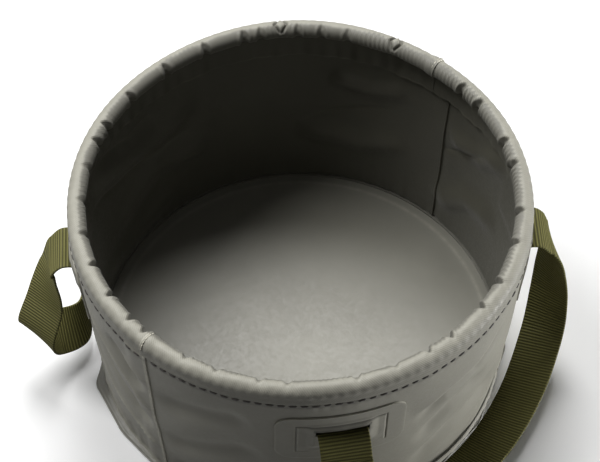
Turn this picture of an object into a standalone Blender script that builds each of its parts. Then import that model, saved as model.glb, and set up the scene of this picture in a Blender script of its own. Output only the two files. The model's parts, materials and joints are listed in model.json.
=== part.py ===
"""Collapsible water bowl: a coated cloth bowl hung from a springy rim ring, with two webbing handles.

Units are metres, +Z is up, and the origin is the middle of the bowl's underside.
Azimuths are in degrees, from +X towards +Y. The front of the bowl faces -Y.
"""
import math

import bmesh
import bpy
from mathutils import Vector

# Rim ring and the rolled hem round it
RIM_HEIGHT = 0.1525
RING_RADIUS = 0.1345
RING_TUBE_RADIUS = 0.003
RING_WALL = 0.001
RING_GAP_DEG = 0.9
JOINER_RADIUS = 0.0017
JOINER_REACH = 3
HEM_ROLL_RADIUS = 0.0048
HEM_LIP_HEIGHT = 0.1463
HEM_FLAP_BOTTOM = 0.125
GATHERS_PER_HALF = 15
GATHER_DEPTH = 0.001

# Wall and base cloth
CLOTH = 0.001
CLEARANCE = 0.0003
WALL_TOP = 0.146
WALL_TAPER = 0.061
WALL_RADIUS_AT_RIM = 0.1405
FLANGE_RADIUS = 0.1373
FLANGE_CORNERS = 18
FLANGE_THICKNESS = 0.002
WALL_STEP_DEG = 4.0
WALL_ROWS = 13
SEAM_AZIMUTH = 50.7
LAP_DEG = 4.7
FLAP_CLEARANCE = 0.0007

# Soft folds pressed into each wall panel: azimuth and height of one end, then of the other,
# and the depth. The second panel is the first turned half round.
WALL_FOLDS = [
    (203, 0.109, 219, 0.055, 0.0016),
    (209, 0.104, 222, 0.024, 0.0014),
    (237, 0.104, 256, 0.095, 0.0017),
    (239, 0.082, 260, 0.064, 0.0013),
    (302, 0.084, 316, 0.108, 0.0018),
    (318, 0.028, 335, 0.066, 0.0018),
    (300, 0.052, 312, 0.046, 0.0012),
]
FOLD_HALF_WIDTH = 0.0095

# Handles: 30 mm webbing, and the patches that hold its ends
WEB_WIDTH = 0.03
WEB_THICKNESS = 0.0016
HANDLE_AZIMUTHS = {"front": -38.5, "back": 141.5}
SLOT_OFFSET_DEG = 41.5
PATCH_WIDTH = 0.078
PATCH_BOTTOM = 0.0805
PATCH_TOP = 0.1305
PATCH_CORNER = 0.011
SLOT_BOTTOM = 0.1123
SLOT_TOP = 0.1181
SLOT_HALF_WIDTH = 0.0165
POCKET_BOTTOM = 0.1005
POCKET_HALF_WIDTH = 0.0157
POCKET_SLOPE = 0.004
TAB_BOTTOM = 0.102
ROOT_BEND = 0.004
CREST_HEIGHT = 0.1157
CREST_RADIUS = 0.1458
CREST_BEND = 0.009
PIVOT_ANGLE = 31.0
PIVOT_TO_END_DEG = 7.2
PIVOT_TO_LOOP_DEG = 2.0

# Each loop's route from its root to its lowest point, the same on both legs:
# degrees from the loop's middle, radius, height, and how the webbing's width lies there,
# as degrees in plan from the loop's outward direction and degrees of tilt.
LOOP_ROUTES = {
    "front": [
        (41.4, 0.1562, 0.0895, 146, -4),
        (40.7, 0.1592, 0.0698, 162, -10),
        (38.7, 0.1603, 0.0475, 176, -15),
        (33.0, 0.1577, 0.0265, 188, -17),
        (19.8, 0.1541, 0.0150, 190, -18),
        (6.2, 0.1530, 0.0115, 184, -17),
    ],
    "back": [
        (41.7, 0.1557, 0.0925, 147, 1),
        (45.8, 0.1618, 0.0705, 178, 3),
        (48.6, 0.1700, 0.0475, 181, -7),
        (45.3, 0.1605, 0.0300, 159, -33),
        (40.2, 0.1428, 0.0225, 148, -58),
        (26.6, 0.1446, 0.0172, 163, -68),
        (9.0, 0.1494, 0.0160, 186, -65),
    ],
}
STEPS_PER_SPAN = 3

# Colours, as linear RGB
TARPAULIN = (0.27, 0.262, 0.22)
TARPAULIN_DARK = (0.21, 0.204, 0.17)
OLIVE_WEBBING = (0.105, 0.1, 0.034)
RING_PLASTIC = (0.035, 0.035, 0.037)
JOINER_METAL = (0.55, 0.55, 0.56)


def clear_scene():
    for item in list(bpy.data.objects):
        bpy.data.objects.remove(item, do_unlink=True)


def material(name, color, roughness, metallic=0.0):
    made = bpy.data.materials.new(name)
    made.use_nodes = True
    shader = made.node_tree.nodes["Principled BSDF"]
    shader.inputs["Base Color"].default_value = (*color, 1.0)
    shader.inputs["Roughness"].default_value = roughness
    shader.inputs["Metallic"].default_value = metallic
    made.diffuse_color = (*color, 1.0)
    return made


def polar(radius, azimuth, height):
    """A point at a radius and an azimuth in degrees round the bowl's axis."""
    turn = math.radians(azimuth)
    return Vector((radius * math.cos(turn), radius * math.sin(turn), height))


def spread(start, end, count):
    """Evenly spaced values, both ends included."""
    return [start + (end - start) * k / (count - 1) for k in range(count)]


def ease(x):
    """0 to 1 with soft ends."""
    x = min(max(x, 0.0), 1.0)
    return x * x * (3 - 2 * x)


def wall_radius(height):
    """Outer radius of the wall cloth, which narrows towards the base."""
    return WALL_RADIUS_AT_RIM - WALL_TAPER * (RIM_HEIGHT - height)


def fold_depth(azimuth, height):
    """How far the folds draw the wall in at one place."""
    total = 0.0
    for start, low, end, high, depth in WALL_FOLDS:
        turn = math.radians((azimuth - start + 90) % 180 - 90)
        across = Vector((turn * RING_RADIUS, height - low))
        run = Vector((math.radians(end - start) * RING_RADIUS, high - low))
        along = min(max(across.dot(run) / run.length_squared, 0.0), 1.0)
        away = (across - run * along).length
        total += depth * math.exp(-((away / FOLD_HALF_WIDTH) ** 2))
    return total


def grid_faces(bm, rows, skip=(), closed_rows=False):
    """Join rows of points into a sheet of quads, leaving out the cells named in skip."""
    verts = [[bm.verts.new(point) for point in row] for row in rows]
    across = len(verts[0]) if closed_rows else len(verts[0]) - 1
    for i in range(len(verts) - 1):
        for j in range(across):
            if (i, j) not in skip:
                k = (j + 1) % len(verts[0])
                bm.faces.new((verts[i][j], verts[i][k], verts[i + 1][k], verts[i + 1][j]))
    loose = [v for v in bm.verts if not v.link_faces]
    bmesh.ops.delete(bm, geom=loose, context="VERTS")
    return verts


def add_object(name, bm, look, parent=None, origin=None):
    """Put a mesh in the scene under its node name, with its origin where it is asked for."""
    mesh = bpy.data.meshes.new(name)
    if origin is not None:
        bmesh.ops.translate(bm, verts=bm.verts, vec=-origin)
    bm.to_mesh(mesh)
    bm.free()
    mesh.materials.append(look)
    mesh.shade_smooth()
    mesh.set_sharp_from_angle(angle=math.radians(40))
    item = bpy.data.objects.new(name, mesh)
    bpy.context.scene.collection.objects.link(item)
    if origin is not None:
        item.location = origin
    if parent is not None:
        item.parent = parent
        item.matrix_parent_inverse = parent.matrix_world.inverted()
    return item


def solidify(item, thickness, offset):
    """Give a sheet its thickness: offset 1 grows it along its normals, -1 against them."""
    cloth = item.modifiers.new("Thickness", "SOLIDIFY")
    cloth.thickness = thickness
    cloth.offset = offset
    cloth.use_even_offset = True
    cloth.use_quality_normals = True


def loft(bm, sections):
    """A solid through closed sections, with a face at each end."""
    verts = grid_faces(bm, sections, closed_rows=True)
    bm.faces.new(verts[0][::-1])
    bm.faces.new(verts[-1])
    bmesh.ops.recalc_face_normals(bm, faces=bm.faces)


def lap_lift(azimuth):
    """How far a panel stands out where it laps over the start of the next one."""
    past = (azimuth - SEAM_AZIMUTH + LAP_DEG + 1.2) % 180
    return (CLOTH + CLEARANCE) * min(past / 0.85, 1.0) if past <= LAP_DEG + 1.2 else 0.0


def flange_radius(azimuth):
    """The welded foot is a polygon: its edge runs straight between soft corners."""
    step = 360.0 / FLANGE_CORNERS
    off_middle = math.radians(((azimuth - SEAM_AZIMUTH + LAP_DEG) % step) - step / 2)
    return FLANGE_RADIUS * math.cos(math.radians(step / 2)) / math.cos(off_middle)


def make_base_panel(look):
    """The floor of the bowl, a disc of cloth inside the wall's foot."""
    radius = wall_radius(0) - CLOTH - CLEARANCE
    count = int(360 / WALL_STEP_DEG)
    bm = bmesh.new()
    rings = []
    for z in (0.0, CLOTH):
        rings.append([polar(radius, SEAM_AZIMUTH - LAP_DEG + WALL_STEP_DEG * k, z) for k in range(count)])
    loft(bm, rings)
    return add_object("base_panel", bm, look)


def make_base_seam(look):
    """The flat welded flange that runs round the foot of the wall."""
    first = SEAM_AZIMUTH - LAP_DEG
    azimuths = [first + WALL_STEP_DEG * k for k in range(int(360 / WALL_STEP_DEG))]
    for seam in (first, first + 180):
        azimuths += [seam - 1.3, seam - 0.5, seam + LAP_DEG + 0.1, seam + LAP_DEG + 0.5]
    sections = []
    for azimuth in sorted(azimuths):
        inner = wall_radius(0) + CLEARANCE + max(lap_lift(azimuth - 0.3), lap_lift(azimuth + 0.9))
        outer = flange_radius(azimuth)
        line = [(inner, 0), (outer, 0), (outer, 0.0016), (outer - 0.0004, FLANGE_THICKNESS)]
        line += [(inner + 0.0012, FLANGE_THICKNESS), (inner, 0.0024)]
        sections.append([polar(r, azimuth, z) for r, z in line])
    bm = bmesh.new()
    grid_faces(bm, sections + sections[:1], closed_rows=True)
    bmesh.ops.remove_doubles(bm, verts=bm.verts, dist=0.00001)
    bmesh.ops.recalc_face_normals(bm, faces=bm.faces)
    return add_object("base_seam", bm, look)


def make_wall_panel(name, start, look):
    """One of the two wall panels. Its far end steps out and laps over the next panel."""
    end = start + 180 + LAP_DEG
    azimuths = [start + WALL_STEP_DEG * k for k in range(int(180 / WALL_STEP_DEG))]
    azimuths += [end - LAP_DEG - 1.2, end - LAP_DEG - 0.35, end - LAP_DEG / 2, end]
    columns = []
    for azimuth in azimuths:
        lift = lap_lift(azimuth - 0.01) if azimuth > start + 90 else 0.0
        column = []
        for height in spread(WALL_TOP, 0.0, WALL_ROWS):
            radius = wall_radius(height) + lift - fold_depth(azimuth, height)
            column.append(polar(radius, azimuth, height))
        columns.append(column)
    bm = bmesh.new()
    grid_faces(bm, columns)
    panel = add_object(name, bm, look)
    solidify(panel, CLOTH, -1)
    return panel


def hem_line(pinch):
    """Section of the rolled hem: up from the wall, round the ring, and down inside as a flap."""
    line = [(wall_radius(HEM_LIP_HEIGHT) - CLOTH / 2, HEM_LIP_HEIGHT)]
    for turn in range(-14, 262, 30):
        inside = ease((turn - 50) / 60) * ease((290 - turn) / 60)
        radius = HEM_ROLL_RADIUS - pinch * inside
        x = RING_RADIUS + radius * math.cos(math.radians(turn))
        line.append((x, RIM_HEIGHT + radius * math.sin(math.radians(turn))))
    inset = 1.5 * CLOTH + FLAP_CLEARANCE
    line.append((0.1363, 0.14735))
    for z in (0.1455, 0.136, HEM_FLAP_BOTTOM):
        line.append((wall_radius(z) - inset, z))
    return line


def make_hem(name, start, look, parent):
    """The tube of cloth round one half of the ring, drawn in at even gathers on its inner side."""
    end = start + 180 - math.degrees(CLEARANCE / RING_RADIUS)
    bm = bmesh.new()
    columns = []
    for k, azimuth in enumerate(spread(start, end, 2 * GATHERS_PER_HALF + 1)):
        line = hem_line(GATHER_DEPTH * (k % 2))
        columns.append([polar(r, azimuth, z) for r, z in line])
    grid_faces(bm, columns)
    bmesh.ops.recalc_face_normals(bm, faces=bm.faces)
    hem = add_object(name, bm, look, parent)
    solidify(hem, CLOTH, 0)
    return hem


def ring_circle(radius, azimuth, sides=8):
    """A circle of a tube that follows the ring."""
    circle = []
    for k in range(sides):
        turn = 2 * math.pi * k / sides
        out = RING_RADIUS + radius * math.cos(turn)
        circle.append(polar(out, azimuth, RIM_HEIGHT + radius * math.sin(turn)))
    return circle


def ring_azimuths():
    """Places along the ring, from one of its two ends round to the other."""
    joint = SEAM_AZIMUTH + 180
    step = 180 / (2 * GATHERS_PER_HALF)
    inner = [joint + step * k for k in range(1, 4 * GATHERS_PER_HALF)]
    return [joint + RING_GAP_DEG / 2] + inner + [joint + 360 - RING_GAP_DEG / 2]


def make_ring(look, parent):
    """The springy tube that holds the mouth open, with its two ends just apart."""
    bm = bmesh.new()
    grid_faces(bm, [ring_circle(RING_TUBE_RADIUS, a) for a in ring_azimuths()], closed_rows=True)
    bmesh.ops.recalc_face_normals(bm, faces=bm.faces)
    ring = add_object("rim_ring", bm, look, parent)
    solidify(ring, RING_WALL, -1)
    return ring


def make_ring_joiner(look, parent):
    """The pin inside the ring's two ends."""
    places = ring_azimuths()
    bm = bmesh.new()
    inside = [a - 360 for a in places[-JOINER_REACH:]] + places[:JOINER_REACH]
    loft(bm, [ring_circle(JOINER_RADIUS, a) for a in inside])
    return add_object("ring_joiner", bm, look, parent)


def patch_raise(across, height):
    """How far the patch stands off the wall: it swells into a pocket over the webbing's end."""
    beside = ease((POCKET_HALF_WIDTH + POCKET_SLOPE - abs(across)) / POCKET_SLOPE)
    below = ease((height - POCKET_BOTTOM + POCKET_SLOPE) / POCKET_SLOPE)
    above = ease((SLOT_TOP + POCKET_SLOPE - height) / POCKET_SLOPE)
    return (WEB_THICKNESS + CLEARANCE) * beside * below * above


def patch_half_width(height):
    """Half the patch's width at a height, less towards its rounded corners."""
    into = max(PATCH_BOTTOM + PATCH_CORNER - height, height - PATCH_TOP + PATCH_CORNER, 0.0)
    rounded = PATCH_CORNER - math.sqrt(max(PATCH_CORNER**2 - into**2, 0.0))
    return PATCH_WIDTH / 2 - rounded


def make_patch(name, azimuth, look):
    """A rounded cloth patch, welded down on its border, with a slot for the webbing."""
    corner_rows = [PATCH_CORNER * (1 - math.cos(math.radians(t))) for t in (0, 30, 55, 90)]
    heights = [PATCH_BOTTOM + rise for rise in corner_rows]
    heights += [POCKET_BOTTOM - POCKET_SLOPE, POCKET_BOTTOM, 0.1065, SLOT_BOTTOM, SLOT_TOP]
    heights += [PATCH_TOP - rise for rise in reversed(corner_rows)][1:]
    pocket_edge = POCKET_HALF_WIDTH + POCKET_SLOPE
    inner = [0.0, 0.008, POCKET_HALF_WIDTH, SLOT_HALF_WIDTH, pocket_edge]
    half = PATCH_WIDTH / 2
    outer = [half - PATCH_CORNER, half - PATCH_CORNER / 2, half]
    rows = []
    for height in heights:
        limit = patch_half_width(height)
        squeeze = (limit - pocket_edge) / (half - pocket_edge)
        right = inner + [pocket_edge + (x - pocket_edge) * squeeze for x in outer]
        row = []
        for x in [-x for x in reversed(right[1:])] + right:
            out = wall_radius(height) + CLEARANCE + patch_raise(x, height)
            row.append(polar(out, azimuth + math.degrees(x / wall_radius(height)), height))
        rows.append(row)
    slot_row = heights.index(SLOT_BOTTOM)
    middle = len(inner) + len(outer) - 1
    slot_columns = inner.index(SLOT_HALF_WIDTH)
    slot = {(slot_row, middle + k) for k in range(-slot_columns, slot_columns)}
    bm = bmesh.new()
    grid_faces(bm, rows, skip=slot)
    patch = add_object(name, bm, look)
    solidify(patch, CLOTH, 1)
    return patch


def web_section(centre, width_way, face_way, cup=0.0):
    """The webbing's flat section with its edges rounded off, cupped to follow the wall if asked."""
    half, thin = WEB_WIDTH / 2, WEB_THICKNESS / 2
    inset = half - thin / 2
    top = [(half, thin / 2), (inset, thin), (0, thin), (-inset, thin), (-half, thin / 2)]
    outline = top + [(-x, -y) for x, y in top]
    return [centre + width_way * x + face_way * (y + cup * (x / half) ** 2) for x, y in outline]


def crest_point(turn):
    """A point of the fold over which the webbing falls, as radius and height."""
    x = CREST_RADIUS + CREST_BEND * math.cos(math.radians(turn))
    return x, CREST_HEIGHT - CREST_BEND + CREST_BEND * math.sin(math.radians(turn))


def make_strap_end(name, azimuth, look, parent):
    """The anchored end of a handle: up behind its patch, out of the slot and over the first fold."""
    seat = wall_radius(0.1) + CLEARANCE + WEB_THICKNESS / 2
    rise = CREST_HEIGHT - ROOT_BEND
    line = [(seat + WALL_TAPER * (z - 0.1), z) for z in (TAB_BOTTOM, 0.1067, rise)]
    foot = line[-1][0]
    for turn in (30, 60, 90):
        out = foot + ROOT_BEND * (1 - math.cos(math.radians(turn)))
        line.append((out, rise + ROOT_BEND * math.sin(math.radians(turn))))
    stop = PIVOT_ANGLE + PIVOT_TO_END_DEG
    line += [crest_point(turn) for turn in spread(90, stop, 4)]
    across = polar(1, azimuth + 90, 0)
    wall_cup = (WEB_WIDTH / 2) ** 2 / (2 * seat)
    sections = []
    for k, (radius, height) in enumerate(line):
        before, after = line[max(k - 1, 0)], line[min(k + 1, len(line) - 1)]
        run = Vector((after[0] - before[0], after[1] - before[1])).normalized()
        face_way = polar(-run.y, azimuth, run.x)
        if k == 0:
            face_way = polar(-1, azimuth, 0)
        cup = wall_cup * (1 - k / 6) if k > 2 else wall_cup
        section = web_section(polar(radius, azimuth, height), across, face_way, max(cup, 0.0))
        sections.append(section)
    bm = bmesh.new()
    loft(bm, sections)
    return add_object(name, bm, look, parent)


def curve_between(points, k, t):
    """Catmull-Rom curve between points k and k + 1, for places and width directions alike."""
    p0, p1, p2, p3 = (points[min(max(i, 0), len(points) - 1)] for i in (k - 1, k, k + 1, k + 2))
    a = 2 * p1
    b = p2 - p0
    c = 2 * p0 - 5 * p1 + 4 * p2 - p3
    d = 3 * p1 - p0 - 3 * p2 + p3
    return (a + b * t + c * t**2 + d * t**3) / 2


def loop_points(kind):
    """A handle loop's route and the way its width lies, from one root round to the other."""
    middle = HANDLE_AZIMUTHS[kind]
    start = PIVOT_ANGLE - PIVOT_TO_LOOP_DEG
    root_width = 90 + SLOT_OFFSET_DEG
    half = [(SLOT_OFFSET_DEG, *crest_point(turn), root_width, 0) for turn in spread(start, 0, 3)]
    half[-1] = (*half[-1][:3], root_width + 3, 0)
    half += LOOP_ROUTES[kind]
    places, widths = [], []
    for side, route in ((1, half), (-1, half[::-1])):
        for off, radius, height, plan, tilt in route:
            places.append(polar(radius, middle + side * off, height))
            lean = math.radians(tilt)
            flat = polar(math.cos(lean), middle + side * plan, 0)
            widths.append(flat + Vector((0, 0, math.sin(lean))))
    return places, widths


def make_loop(name, kind, look, parent):
    """The free loop of a handle, hanging down outside the wall."""
    places, widths = loop_points(kind)
    centres, across = [], []
    for k in range(len(places) - 1):
        for step in range(STEPS_PER_SPAN):
            centres.append(curve_between(places, k, step / STEPS_PER_SPAN))
            across.append(curve_between(widths, k, step / STEPS_PER_SPAN))
    centres.append(places[-1])
    across.append(widths[-1])
    last = len(centres) - 1
    sections = []
    for k, centre in enumerate(centres):
        run = (centres[min(k + 1, last)] - centres[max(k - 1, 0)]).normalized()
        width_way = (across[k] - run * across[k].dot(run)).normalized()
        sections.append(web_section(centre, width_way, run.cross(width_way)))
    bm = bmesh.new()
    loft(bm, sections)
    return add_object(name, bm, look, parent, parent.location)


def empty(name, place):
    """A marker that carries the pieces which move together, on their joint's axis."""
    item = bpy.data.objects.new(name, None)
    item.location = place
    bpy.context.scene.collection.objects.link(item)
    bpy.context.view_layer.update()
    return item


def make_handle(kind, middle, webbing, anchors):
    """One handle: two anchored ends and the loop that swings about the line between its roots."""
    for side, end in ((1, "a"), (-1, "b")):
        make_strap_end(f"strap_end_{kind}_{end}", middle + side * SLOT_OFFSET_DEG, webbing, anchors)
    out, height = crest_point(PIVOT_ANGLE)
    chord = polar(out * math.cos(math.radians(SLOT_OFFSET_DEG)), middle, height)
    pivot = empty(f"{kind}_handle_pivot", chord)
    make_loop(f"handle_strap_{kind}", kind, webbing, pivot)


def main():
    clear_scene()
    cloth = material("tarpaulin", TARPAULIN, 0.55)
    base_cloth = material("tarpaulin base", TARPAULIN_DARK, 0.6)
    webbing = material("olive webbing", OLIVE_WEBBING, 0.8)
    plastic = material("ring plastic", RING_PLASTIC, 0.4)
    metal = material("joiner metal", JOINER_METAL, 0.35, 1.0)

    rim = empty("rim_slide", Vector((0, 0, RIM_HEIGHT)))
    anchors = empty("anchor_slide", Vector((0, 0, SLOT_BOTTOM)))
    make_base_panel(base_cloth)
    make_base_seam(base_cloth)
    inner_edge = SEAM_AZIMUTH - LAP_DEG
    make_wall_panel("wall_panel_front", inner_edge - 180, cloth)
    make_wall_panel("wall_panel_back", inner_edge, cloth)
    make_hem("rim_hem_front", SEAM_AZIMUTH - 180, cloth, rim)
    make_hem("rim_hem_back", SEAM_AZIMUTH, cloth, rim)
    make_ring(plastic, rim)
    make_ring_joiner(metal, rim)
    for kind, middle in HANDLE_AZIMUTHS.items():
        make_patch(f"handle_patch_{kind}_a", middle + SLOT_OFFSET_DEG, cloth)
        make_patch(f"handle_patch_{kind}_b", middle - SLOT_OFFSET_DEG, cloth)
        make_handle(kind, middle, webbing, anchors)
    bpy.context.view_layer.update()


main()
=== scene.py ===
"""Collapsible water bowl: the cloth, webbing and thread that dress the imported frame.

Units are metres, +Z is up, and azimuths are in degrees from +X towards +Y. The front faces -Y.
"""

import json
import math

import bpy
import numpy as np
from bpy.props import FloatProperty, FloatVectorProperty, PointerProperty
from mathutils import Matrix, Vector


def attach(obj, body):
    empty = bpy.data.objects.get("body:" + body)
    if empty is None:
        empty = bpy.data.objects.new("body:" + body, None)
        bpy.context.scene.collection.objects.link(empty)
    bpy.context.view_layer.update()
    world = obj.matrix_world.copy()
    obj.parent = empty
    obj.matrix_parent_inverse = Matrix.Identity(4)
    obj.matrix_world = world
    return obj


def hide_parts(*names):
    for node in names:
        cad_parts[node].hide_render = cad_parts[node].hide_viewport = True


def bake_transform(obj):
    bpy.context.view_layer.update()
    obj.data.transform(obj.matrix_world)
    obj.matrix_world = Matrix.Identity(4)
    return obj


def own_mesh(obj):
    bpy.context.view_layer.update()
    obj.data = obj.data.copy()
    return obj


bl_info = {
    "name": "Collapsible Water Bowl",
    "version": (1, 0, 0),
    "blender": (4, 5, 0),
    "location": "3D View > Sidebar > Bowl",
    "description": "Dresses the frame of a collapsible water bowl in coated cloth, webbing and thread",
    "category": "Object",
}

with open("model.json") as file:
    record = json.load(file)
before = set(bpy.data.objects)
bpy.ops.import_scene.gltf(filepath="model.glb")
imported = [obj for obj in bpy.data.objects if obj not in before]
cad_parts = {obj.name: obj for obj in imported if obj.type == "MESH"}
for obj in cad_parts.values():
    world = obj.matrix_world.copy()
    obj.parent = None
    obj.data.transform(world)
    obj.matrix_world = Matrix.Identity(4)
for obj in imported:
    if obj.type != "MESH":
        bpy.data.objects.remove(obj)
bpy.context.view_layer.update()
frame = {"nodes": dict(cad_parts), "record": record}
RECORD_COLORS = {m["slot"]: tuple(m["base_color"]) for m in frame["record"]["materials"]}

# Places that the solids give
RIM_HEIGHT = 0.1525
RING_RADIUS = 0.1345
WALL_TAPER = 0.061
WALL_RADIUS_AT_RIM = 0.1405
WALL_TOP = 0.1463
SEAM_AZIMUTH = 50.7
LAP_DEG = 4.7
LAP_RISE = 0.00105
WALL_MEAN_RADIUS = 0.1365
FLAP_BOTTOM = 0.125
FLAP_INSET = 0.0026
FLAP_TOP = 0.1456
FLOOR_RADIUS = 0.1325
FOOT_INNER_RADIUS = 0.13
FOOT_THICKNESS = 0.0012
FOOT_TOP = 0.0025

# Heights of the sewn rows, outside on the wall and inside on the flap
WALL_ROW = 0.1444
FLAP_ROW = 0.1432

# Corners of the welded foot: azimuth and radius
FOOT_CORNERS = [
    (-5, 0.1362), (14, 0.137), (33, 0.137), (52, 0.137), (70, 0.137), (88, 0.137), (106, 0.137),
    (124, 0.137), (142, 0.137), (160, 0.1365), (176, 0.1345), (190, 0.1322), (196.8, 0.1397),
    (213.5, 0.1378), (230, 0.1372), (248, 0.137), (267, 0.137), (287, 0.137), (307, 0.1365), (329, 0.135),
]

HANDLE_AZIMUTHS = {"front": -38.5, "back": 141.5}
SLOT_OFFSET_DEG = 41.5
PATCH_WIDTH = 0.078
PATCH_BOTTOM = 0.0805
PATCH_TOP = 0.1305
PATCH_CORNER = 0.011
SLOT_BOTTOM = 0.1123
SLOT_TOP = 0.1181
SLOT_HALF_WIDTH = 0.0165
POCKET_BOTTOM = 0.1005
POCKET_HALF_WIDTH = 0.0157
WEB_WIDTH = 0.03
CREST_HEIGHT = 0.1134
ROOT_BEND = 0.004
TAB_BOTTOM = 0.102
TAB_STANDOFF = 0.0011
COLLAPSE_TRAVEL = 0.12
WALL_KEEP = (WALL_TOP - COLLAPSE_TRAVEL) / WALL_TOP

# Gathers of the rolled hem: azimuth, and depth as a share of the full one
GATHERS = [
    (10.0, 0.9), (17.8, 1.0), (32.1, 1.1), (39.1, 1.0), (76.5, 0.4), (84.0, 0.5), (90.6, 0.5),
    (101.2, 0.6), (106.0, 0.9), (117.8, 1.0), (130.8, 1.1), (144.5, 1.1), (156.3, 1.0), (162.1, 0.9),
    (171.0, 0.4), (182.0, 0.4), (193.0, 0.6), (203.1, 0.9), (213.5, 1.0), (222.4, 0.9), (227.5, 0.8),
    (240.5, 0.5), (248.9, 0.55), (259.9, 0.5), (266.9, 0.5), (283.9, 0.55), (294.0, 0.4), (303.3, 0.9),
    (310.4, 1.0), (322.3, 1.1), (331.1, 1.1), (344.3, 0.9), (354.5, 0.9),
]

# Flat tucks in the roll, by azimuth, and how far round its section they are centred, in degrees
TUCKS = [95.5, 62.9]
TUCK_TURN = 96

# How much deeper and higher the wall's folds are than listed here
FOLD_GAIN = 2.8

# Soft hollows of the walls: azimuth and height along a line, depth, half width
HOLLOWS = [
    ([(231, 0.098), (245, 0.110), (258, 0.120)], 0.0014, 0.0095),
    ([(231, 0.045), (245, 0.066), (260, 0.084)], 0.0013, 0.0095),
    ([(232, 0.010), (246, 0.030), (262, 0.046)], 0.0011, 0.009),
    ([(299, 0.086), (309, 0.100), (320, 0.103), (331, 0.118)], 0.0013, 0.006),
    ([(300, 0.060), (312, 0.078), (326, 0.084)], 0.0010, 0.007),
    ([(298, 0.030), (315, 0.046), (335, 0.052)], 0.0012, 0.009),
    ([(203, 0.100), (212, 0.078), (222, 0.060), (229, 0.056)], 0.0012, 0.007),
    ([(214, 0.128), (222, 0.112), (228, 0.098)], 0.0009, 0.005),
    ([(20, 0.120), (32, 0.098), (44, 0.092)], 0.0013, 0.008),
    ([(18, 0.060), (34, 0.048), (46, 0.022)], 0.0013, 0.009),
    ([(57, 0.112), (70, 0.100), (82, 0.106)], 0.0013, 0.008),
    ([(56, 0.060), (72, 0.046), (92, 0.052)], 0.0012, 0.009),
    ([(118, 0.102), (134, 0.088), (150, 0.096), (164, 0.112)], 0.0014, 0.009),
    ([(116, 0.050), (136, 0.060), (158, 0.040)], 0.0013, 0.010),
    ([(128, 0.024), (150, 0.014), (170, 0.024)], 0.0009, 0.008),
]

# Sharp creases of the walls: the same, with a height in place of a depth
CREASES = [
    ([(199, 0.126), (208, 0.119), (215, 0.110), (221.5, 0.0986), (227, 0.086), (230.3, 0.081)], 0.0008, 0.0026),
    ([(198, 0.094), (205, 0.0678), (212.4, 0.05), (221, 0.0393), (227, 0.034), (230.3, 0.032)], 0.0008, 0.0026),
    ([(200, 0.034), (207, 0.022), (216, 0.012)], 0.0006, 0.0026),
    ([(221, 0.126), (226, 0.119), (230.3, 0.114)], 0.0005, 0.0022),
    ([(299, 0.096), (308, 0.109), (318, 0.112), (330, 0.126)], 0.0005, 0.0035),
    ([(320, 0.012), (332, 0.030), (340, 0.060)], 0.0006, 0.003),
    ([(26, 0.110), (38, 0.086), (46, 0.074)], 0.0007, 0.003),
    ([(62, 0.086), (76, 0.074), (90, 0.060)], 0.0006, 0.003),
    ([(120, 0.076), (134, 0.070), (152, 0.078), (166, 0.092)], 0.0006, 0.003),
    ([(132, 0.112), (144, 0.106), (158, 0.118)], 0.0005, 0.003),
]

# Each loop's route from its root to its lowest point, the same on both legs: degrees from the
# loop's middle, radius, height, and how the width lies, in plan from the outward way and in tilt
LOOP_ROUTES = {
    "front": [
        (41.3, 0.1566, 0.0995, 139, -1),
        (41.1, 0.1582, 0.0935, 146, -3),
        (40.9, 0.1594, 0.0820, 153, -6),
        (40.7, 0.1599, 0.0698, 162, -10),
        (38.7, 0.1603, 0.0475, 176, -15),
        (33.0, 0.1577, 0.0260, 188, -17),
        (19.8, 0.1522, 0.0140, 190, -18),
        (6.2, 0.1500, 0.0105, 184, -17),
    ],
    "back": [
        (41.7, 0.1560, 0.0985, 139, 5),
        (42.7, 0.1573, 0.0921, 152, 7),
        (45.8, 0.1616, 0.0711, 180, 4),
        (48.8, 0.1702, 0.0482, 182, -5),
        (45.3, 0.1600, 0.0304, 157, -33),
        (40.2, 0.1420, 0.0227, 145, -61),
        (26.6, 0.1443, 0.0171, 162, -71),
        (9.0, 0.1494, 0.0157, 189, -68),
    ],
}

# The fold over which the webbing falls, as radius and height
CREST_LINE = [
    (0.1437, 0.1134), (0.1457, 0.1132), (0.1474, 0.1126), (0.1491, 0.1113), (0.1512, 0.1090),
    (0.1532, 0.1061), (0.1550, 0.1030),
]

# How far each root sits beside the middle of its patch, in degrees, less and less down the loop
ROOT_ASIDE = {"front_a": -0.7, "back_a": 0.8, "front_b": 0.0, "back_b": 0.0}

# Two places on the fold's webbing, as radius and height, which build_strap_end works out but does not use
TURN_START = (0.1438, CREST_HEIGHT)
TURN_END = (0.1545, 0.1040)
LOOP_KEEP = 0.05
LOOP_LIE_DEG = 7.0
RIB_ROWS = 5

# What each squash is: its anchor, its share kept and its axis
UP = (0.0, 0.0, 1.0)
WALL_SQUASH = ((0.0, 0.0, 0.0), WALL_KEEP, UP)
FLAP_SQUASH = ((0.0, 0.0, FLAP_TOP), WALL_KEEP, UP)

# ---------------------------------------------------------------- settings


def length(name, about, default):
    """A setting in metres."""
    return FloatProperty(
        name=name, description=about, default=default, min=0.0001, max=0.1, precision=5, unit="LENGTH"
    )


def color(name, about, default):
    """A setting that holds a linear colour."""
    return FloatVectorProperty(
        name=name, description=about, default=default, size=3, min=0.0, max=1.0, subtype="COLOR"
    )


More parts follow.
